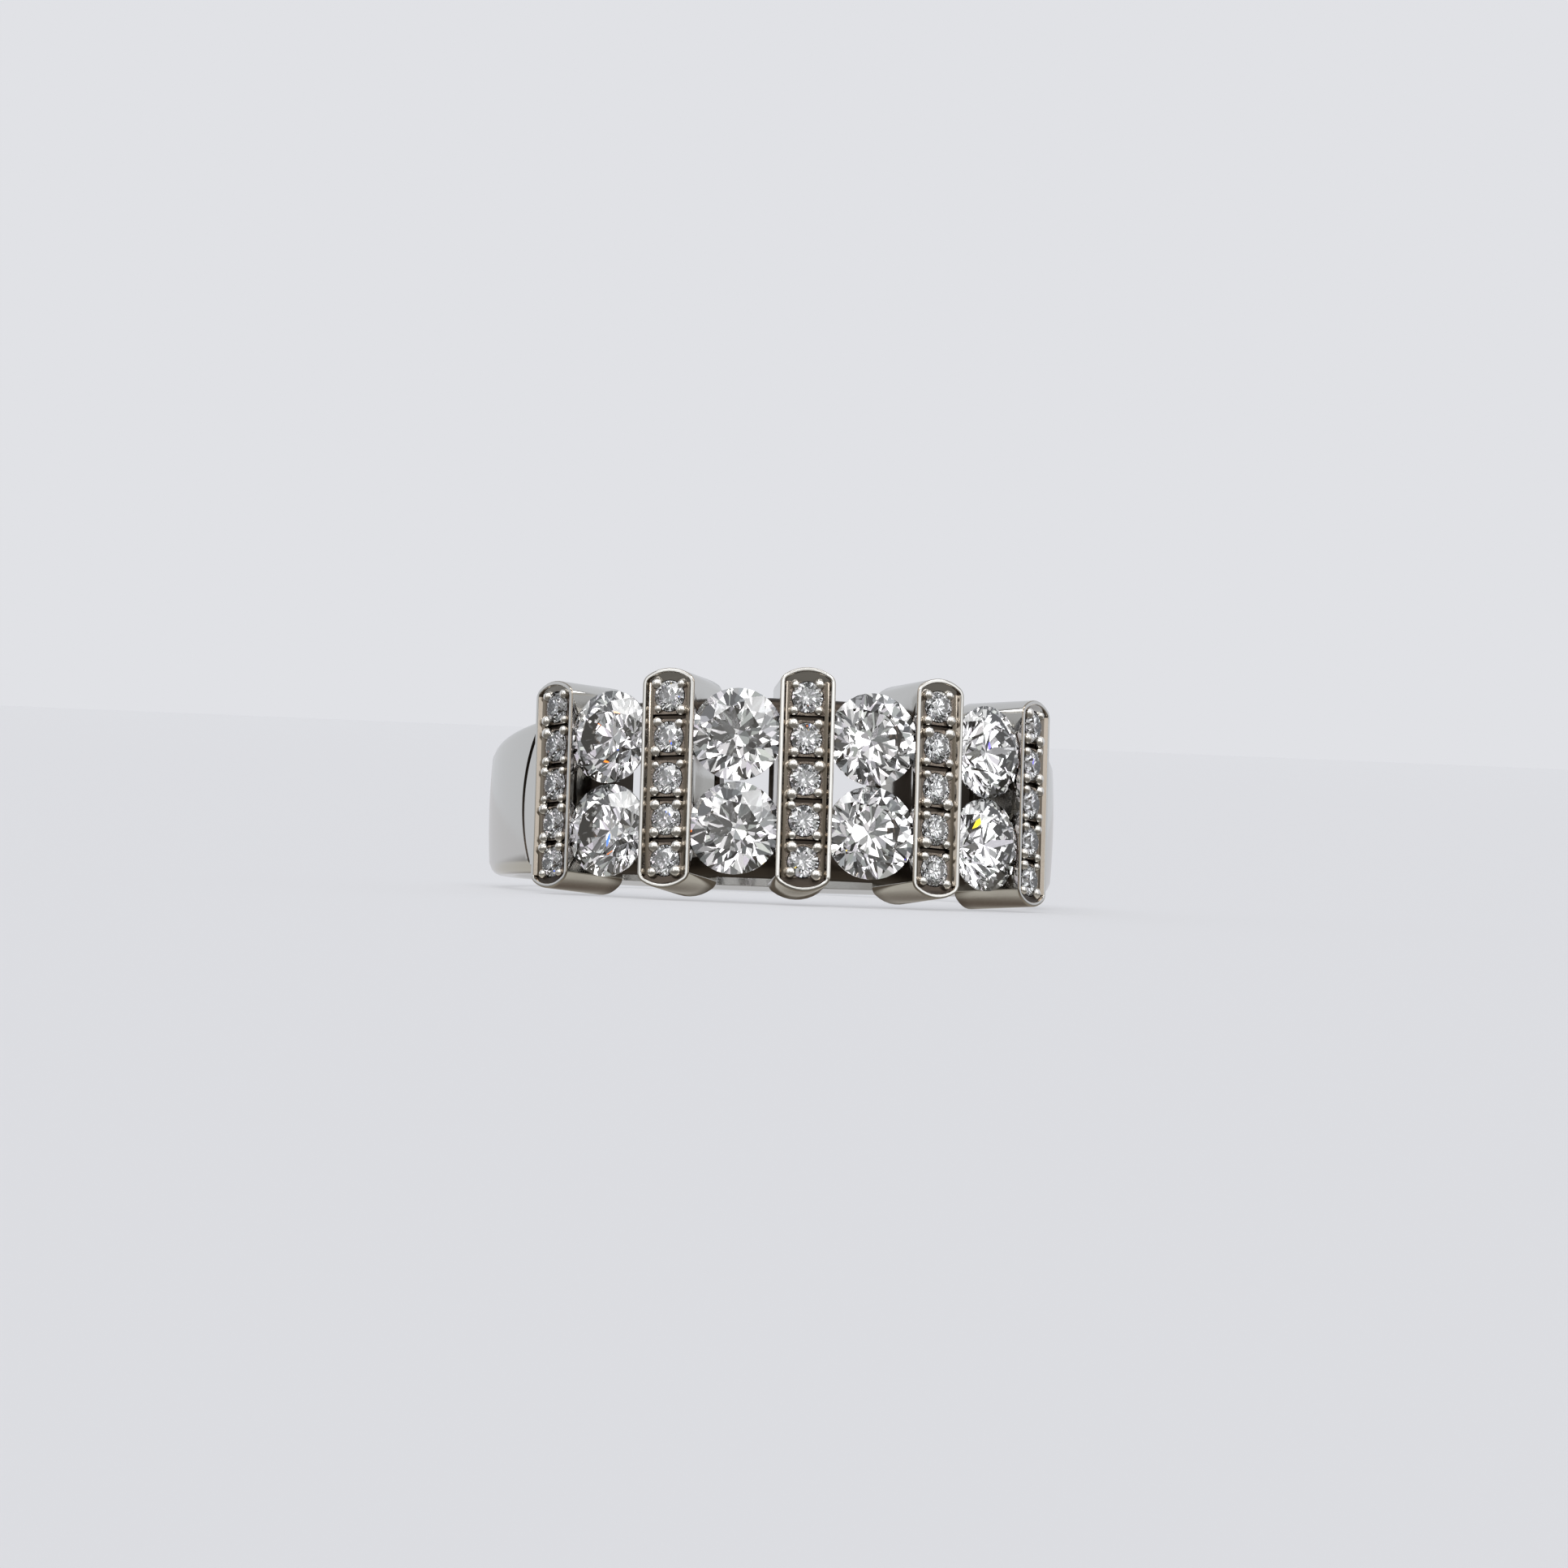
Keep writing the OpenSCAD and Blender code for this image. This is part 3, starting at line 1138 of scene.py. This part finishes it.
@dataclass
class Shank:
    """The hoop: domed, tapered to the back, pierced under each pair and filed at the shoulders."""

    plan: RingPlan
    skins: list[Material]
    dome_r: float = 26.0
    dome_steps: int = 9
    outer_round: float = 0.4
    outer_steps: int = 6
    inner_round: float = 0.18
    inner_steps: int = 4
    turn_steps: int = 240
    opening_w: float = 1.6
    opening_l: float = 4.6
    opening_round: float = 0.7
    opening_steps: int = 6
    flat_w: float = 2.6
    flat_l: float = 7.0
    flat_rise: float = -0.25
    flat_step: float = 0.05
    oval_steps: int = 96
    sharp_angle: float = 24.0

    def hoop(self) -> BMesh:
        """Turns the section round the finger hole and tapers it.

        Returns:
            The mesh of the plain hoop.
        """
        plan = self.plan
        half = plan.band_w_side / 2
        domed = half - self.outer_round
        bm = bmesh.new()

        def dome(z: float) -> float:
            """Gives the outer face's radius at a place across the band."""
            return plan.band_r - self.dome_r + math.sqrt(self.dome_r**2 - z**2)

        corners = [(plan.bore_r, -half), (dome(half), -half), (dome(half), half), (plan.bore_r, half)]
        verts = [bm.verts.new((0, -r, z)) for r, z in corners]
        bm.faces.new(verts)
        round_off(bm, verts[1:3], self.outer_round, self.outer_steps)
        inner = [v for v in bm.verts if abs(v.co.y + plan.bore_r) < NEAR]
        round_off(bm, inner, self.inner_round, self.inner_steps)
        outer = max(bm.edges, key=lambda e: e.calc_length() - (e.verts[0].co.y + e.verts[1].co.y))
        bmesh.ops.subdivide_edges(bm, edges=[outer], cuts=self.dome_steps)
        bmesh.ops.delete(bm, geom=bm.faces[:], context="FACES_ONLY")
        for vertex in bm.verts:
            if abs(vertex.co.z) < domed and vertex.co.y < -plan.bore_r - self.inner_round:
                vertex.co.y = -dome(vertex.co.z)
        revolve(bm, self.turn_steps)
        # The dome stretches or shrinks with the width, and the rounded edges move as they are
        for vertex in bm.verts:
            z = vertex.co.z
            share = min(abs(z) / domed, 1.0)
            vertex.co.z += math.copysign(share, z) * (plan.half_width(vertex.co.y) - half)
        return bm

    def shoulder_angle(self) -> float:
        """The angle about the finger hole at which the hoop meets the last bar's outer wall.

        Returns:
            The angle, in radians.
        """
        plan = self.plan
        lean = plan.bar_angle(len(plan.bar_lengths))
        out = Vector((math.sin(lean), -math.cos(lean)))
        wall = Vector((plan.bar_w / 2 * math.cos(lean), plan.arc_y + plan.bar_w / 2 * math.sin(lean)))
        ahead = wall.dot(out)
        foot = wall + out * (math.sqrt(ahead**2 - wall.length_squared + plan.band_r**2) - ahead)
        return math.atan2(foot.x, -foot.y)

    def cutter(self) -> Object:
        """Makes the shape that cuts the openings, and the flat filed beside each last bar.

        Returns:
            The cutter, in place.
        """
        plan = self.plan
        bm = bmesh.new()
        for pair in plan.pairs:
            made = bmesh.ops.create_cube(bm, size=1.0)
            size = (self.opening_w, self.opening_l, 2 * plan.bar_depth)
            bmesh.ops.scale(bm, vec=size, verts=made["verts"])
            frame = plan.on_arc(plan.bar_angle(pair + 0.5), plan.head_r - plan.bar_depth)
            edges = dict.fromkeys(e for v in made["verts"] for e in v.link_edges)
            upright = [e for e in edges if abs(e.verts[0].co.z - e.verts[1].co.z) > plan.bar_depth]
            bmesh.ops.transform(bm, matrix=frame, verts=made["verts"])
            round_off(bm, upright, self.opening_round, self.opening_steps)
        half_turn = self.flat_w / plan.band_r / 2
        floor_r = plan.band_r * math.cos(half_turn) - self.flat_step
        for side in (-1, 1):
            frame = (
                Matrix.Rotation(side * (self.shoulder_angle() + half_turn), 4, "Z")
                @ Matrix.Translation((0, -floor_r, 0))
                @ Matrix.Rotation(math.pi / 2, 4, "X")
                @ Matrix.Translation((-side * self.flat_w / 2, self.flat_rise, plan.band_t / 2))
                @ Matrix.Diagonal((self.flat_w, self.flat_l / 2, plan.band_t, 1))
            )
            known = len(bm.faces)
            bmesh.ops.create_cone(
                bm, cap_ends=True, segments=self.oval_steps, radius1=1, radius2=1, depth=1, matrix=frame
            )
            bm.faces.ensure_lookup_table()
            # The step round each filed flat takes the dark skin: painted shade along its edge
            for face in bm.faces[known:]:
                if len(face.verts) == 4:
                    face.material_index = Skin.DIRT_AND_SHADE.value
        return to_object("shank_cuts", bm, self.skins)

    def build(self) -> Object:
        """Makes the shank.

        Returns:
            The finished shank.
        """
        obj = to_object("shank", self.hoop(), self.skins)
        carve(obj, self.cutter())
        self.paint_shade_under_stones(obj)
        finish_metal(obj, self.plan.lying, self.sharp_angle)
        return obj

    def paint_shade_under_stones(self, obj: Object) -> None:
        """Gives the outer faces between the outermost bars the dark skin: painted shade under the
        stones.

        Args:
            obj: The shank, in millimetres and upright.
        """
        plan = self.plan
        reach = plan.bar_angle(len(plan.bar_lengths))
        for face in obj.data.polygons:
            away = face.center - Vector((0, plan.arc_y, 0))
            is_outer = face.center.xy.length > plan.bore_r + self.inner_round
            if is_outer and abs(math.atan2(away.x, -away.y)) < reach:
                face.material_index = Skin.DIRT_AND_SHADE.value


@dataclass
class Stones:
    """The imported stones, which take the finish of cut diamond."""

    nodes: dict[str, Object]
    skin: Material
    small_skin: Material

    def dress(self) -> int:
        """Gives each stone its material.

        Returns:
            How many stones there are.
        """
        stones = {name: obj for name, obj in self.nodes.items() if name != BAND_NODE}
        for name, obj in stones.items():
            obj.data.materials.clear()
            obj.data.materials.append(self.small_skin if name.startswith("accent") else self.skin)
        return len(stones)


@dataclass
class Studio:
    """The table, the soft lights and the camera."""

    plan: RingPlan
    floor_z: float
    azimuth: float = -5.3
    elevation: float = 0.4
    roll: float = 2.34
    distance: float = 300.0
    frame_w: float = 52.56
    image_px: float = 1932.0
    target_px: tuple[float, float] = (992.7, 960.0)
    sensor: float = 36.0
    table_half: float = 3000.0
    bend_r: float = 600.0
    bend_steps: int = 12
    round_steps: int = 96
    mirror_gap: float = 0.02
    soft_azimuth: float = -20.0
    soft_elevation: float = 66.0
    soft_spread: float = 70.0
    soft_power: float = 1.5
    stone_room_r: float = 38.0
    back_light: str = "#D2D4D8"
    front_light: tuple[tuple[float, str], ...] = (
        (0.0, "#8F8B84"),
        (0.2, "#A3A09A"),
        (0.42, "#B5B3AE"),
        (0.65, "#77716A"),
        (0.85, "#453F3A"),
        (1.0, "#3A3632"),
    )
    cards: tuple[Card, ...] = (
        Card("camera_side", -6, -1, 20, 14, "#3A3835", 1, SeenBy.METAL),
        Card("viewer", -6, 0, 6, 6, "#5F5D58", 1, SeenBy.STONES),
        Card("over_camera", 6, 18, 30, 12, "#FFFFFF", 1.4, SeenBy.METAL),
        Card("left_lamp", -18, 38, 7, 7, "#FFFFFF", 14, SeenBy.METAL),
        Card("right_lamp", 26, 34, 7, 7, "#FFFFFF", 14, SeenBy.METAL),
        Card("left_window", -46, 22, 26, 40, "#FFFFFF", 1.1, SeenBy.METAL),
        Card("right_window", 56, 20, 26, 40, "#FFFFFF", 1.2, SeenBy.METAL),
        Card("soft_strip", 4, 41, 80, 11, "#FFFFFF", 2.4, SeenBy.METAL),
        Card("high_strip", 4, 71, 100, 15, "#FFFFFF", 3.4, SeenBy.METAL),
        Card("top_window", 0, 58, 40, 20, "#FFFFFF", 1.8, SeenBy.STONES),
        Card("right_glow", 22, 10, 16, 18, "#FFFFFF", 2.4, SeenBy.STONES),
        Card("left_shade", -15, 10, 20, 26, "#FFFFFF", 0.1, SeenBy.STONES),
        Card("high_left", -22, 36, 9, 12, "#FFFFFF", 3.5, SeenBy.STONES),
        Card("high_right", 24, 32, 10, 9, "#FFFFFF", 3.5, SeenBy.STONES),
        Card("orange_flash", -30, 8, 1.8, 1.8, "#FF7A1E", 3.5, SeenBy.STONES),
        Card("violet_flash", 42, -6, 1.8, 1.8, "#6A5CFF", 4, SeenBy.STONES),
        Card("blue_flash", -14, 24, 1.8, 1.8, "#3C6CFF", 3.5, SeenBy.STONES),
        Card("cyan_flash", 48, 26, 1.8, 1.8, "#3CE0F0", 2.5, SeenBy.STONES),
        Card("yellow_flash", 17, -12, 1.4, 1.4, "#FFD83C", 2.6, SeenBy.STONES),
    )

    def add_camera(self) -> None:
        """Sets the camera at the photo's angle, with the middle bar where the photo has it."""
        back = direction(self.azimuth, self.elevation)
        level = Vector((0, 0, 1)).cross(back).normalized()
        roll = Matrix.Rotation(math.radians(self.roll), 3, back)
        right = roll @ level
        up = back.cross(right)
        target = (self.plan.lying @ self.plan.on_arc(0.0, self.plan.head_r)).translation
        depth = target.dot(back)
        per_px = self.frame_w / self.image_px * (self.distance - depth) / self.distance
        aside = (self.target_px[0] - self.image_px / 2) * per_px
        above = (self.image_px / 2 - self.target_px[1]) * per_px
        eye = target + back * (self.distance - depth) - right * aside - up * above
        camera = bpy.data.objects.new("camera", bpy.data.cameras.new("camera"))
        turn = Matrix((right, up, back)).transposed().to_4x4()
        camera.matrix_world = Matrix.Translation(eye * MM) @ turn
        camera.data.sensor_width = self.sensor
        camera.data.lens = self.sensor * self.distance / self.frame_w
        camera.data.clip_start = 0.01
        camera.data.clip_end = 100.0
        camera.data.dof.use_dof = False
        bpy.context.scene.collection.objects.link(camera)
        bpy.context.scene.camera = camera

    def add_table(self) -> None:
        """Lays the table, with a curved wall round it."""
        frame = Matrix.Translation((0, 0, self.floor_z))
        seen_by = (SeenBy.CAMERA, SeenBy.SHADOW)
        put_on_stage("table", self.disc(), TablePaper("table_paper").build(), frame, *seen_by)
        wall_skin = TablePaper("wall_paper", lit_share=0.0, glow=1.0).build()
        put_on_stage("wall", self.wall(), wall_skin, frame, *seen_by)

    def disc(self) -> BMesh:
        """Makes the table's top.

        Returns:
            The round face.
        """
        bm = bmesh.new()
        steps = self.round_steps
        bmesh.ops.create_circle(bm, cap_ends=True, segments=steps, radius=self.table_half)
        return bm

    def wall(self) -> BMesh:
        """Turns a quarter bend and an upright round the table.

        Returns:
            The wall, open at the top.
        """
        bm = bmesh.new()
        bm.verts.new((self.table_half, 0, 0))
        centre = (self.table_half, 0, self.bend_r)
        last = revolve(bm, self.bend_steps, centre, (0, -1, 0), math.pi / 2)
        top = [item for item in last if isinstance(item, BMVert)]
        raised = bmesh.ops.extrude_vert_indiv(bm, verts=top)["verts"]
        bmesh.ops.translate(bm, vec=(0, 0, self.table_half), verts=raised)
        revolve(bm, self.round_steps)
        return bm

    def add_mirrored(self) -> None:
        """Adds a duller table just below, for the metal to mirror, and a room for the stones."""
        below = Matrix.Translation((0, 0, self.floor_z - self.mirror_gap))
        put_on_stage("mirrored_table", self.disc(), MirroredTable().build(), below, SeenBy.METAL)
        bm = bmesh.new()
        bmesh.ops.create_icosphere(bm, subdivisions=5, radius=self.stone_room_r)
        put_on_stage("room_in_stones", bm, StoneRoom().build(), Matrix.Identity(4), SeenBy.STONES)

    def add_lights(self) -> None:
        """Adds the wide soft light from above and stands the cards round the ring."""
        data = bpy.data.lights.new("soft_light", "SUN")
        data.angle = math.radians(self.soft_spread)
        data.energy = self.soft_power
        lamp = bpy.data.objects.new("soft_light", data)
        towards = direction(self.soft_azimuth, self.soft_elevation)
        lamp.matrix_world = towards.to_track_quat("Z", "Y").to_matrix().to_4x4()
        lamp.visible_glossy = False
        lamp.visible_transmission = False
        bpy.context.scene.collection.objects.link(lamp)
        for card in self.cards:
            card.build()

    def add_room(self) -> None:
        """Fills the room: even light behind the ring, and in front a wall under a dark ceiling."""
        world = bpy.data.worlds.new("room")
        tree = start_tree(world)
        towards = add_node(tree, "ShaderNodeTexCoord").outputs["Generated"]
        split = add_node(tree, "ShaderNodeSeparateXYZ", {"Vector": towards})
        in_front = add_node(
            tree,
            "ShaderNodeMapRange",
            {"Value": split.outputs["Y"], "From Min": 0.2, "From Max": -0.3},
            interpolation_type="SMOOTHSTEP",
        ).outputs["Result"]
        front = add_node(tree, "ShaderNodeValToRGB", {"Fac": split.outputs["Z"]})
        set_ramp(front, [(height, linear(colour)) for height, colour in self.front_light])
        back = linear(self.back_light)
        room = add_node(
            tree,
            "ShaderNodeMix",
            {MIX_SHARE: in_front, MIX_FIRST: back, MIX_SECOND: front.outputs["Color"]},
            data_type="RGBA",
        )
        light = add_node(tree, "ShaderNodeBackground", {"Color": room.outputs[MIX_RESULT]})
        add_node(tree, "ShaderNodeOutputWorld", {"Surface": light.outputs["Background"]})
        bpy.context.scene.world = world
        bpy.context.scene.view_settings.view_transform = "Standard"


def main() -> None:
    """Builds the ring and the studio, piece by piece."""
    logging.basicConfig(level=logging.INFO, format="%(name)s: %(message)s")
    for obj in list(bpy.data.objects):
        bpy.data.objects.remove(obj)
    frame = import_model()
    cad_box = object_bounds()
    plan = RingPlan.from_record(frame["record"])
    # The bright-cut, dark and tooled skins are darker copies of the polished white gold: painted shade,
    # the dark one with some dirt. The polished skin also darkens near the stones and the table: painted
    # shade, with some tarnish
    skins = [
        WhiteGold("white_gold_polished", tarnish_and_shade_reach_mm=0.9, tarnish_and_shade_beside_others=True).build(),
        WhiteGold("white_gold_bright_cut", "#A89F94", 0.12, tarnish_and_shade_reach_mm=0.25).build(),
        WhiteGold("white_gold_dirt_and_shade", "#49423C", 0.35).build(),
        WhiteGold(
            "white_gold_tooled",
            "#877D74",
            0.15,
            scratch_mm=0.16,
            scratch_depth_mm=0.04,
            tarnish_and_shade_reach_mm=0.2,
        ).build(),
    ]
    # The beads' metal is a paler copy of the white gold: painted light, so that they show bright
    bead_skin = WhiteGold("white_gold_beads", "#F2F0EC", 0.2).build()
    # The shank's skin darkens where the metal closes in: painted shade, with some tarnish
    shank_skins = [WhiteGold("white_gold_shank", tarnish_and_shade_reach_mm=1.2).build(), *skins[1:]]
    seats = StoneSeats(plan)
    LOG.info("shank: %d faces", len(Shank(plan, shank_skins).build().data.polygons))
    for number in plan.bars:
        bar = Bar(plan, number, skins).build(seats)
        beads = BeadRow(plan, number, bead_skin).build()
        LOG.info("bar %d: %d faces, beads %d", number, len(bar.data.polygons), len(beads.data.polygons))
    # The accent stones' diamond is greyer than the main stones': painted shade
    small = Diamond("small_diamond", "#CACCCF").build()
    count = Stones(frame["nodes"], Diamond("diamond").build(), small).dress()
    LOG.info("stones: %d", count)
    studio = Studio(plan, cad_box[0][2] / MM)
    studio.add_camera()
    studio.add_table()
    studio.add_mirrored()
    studio.add_lights()
    studio.add_room()
    LOG.info("studio ready")


if __name__ == "__main__":
    main()
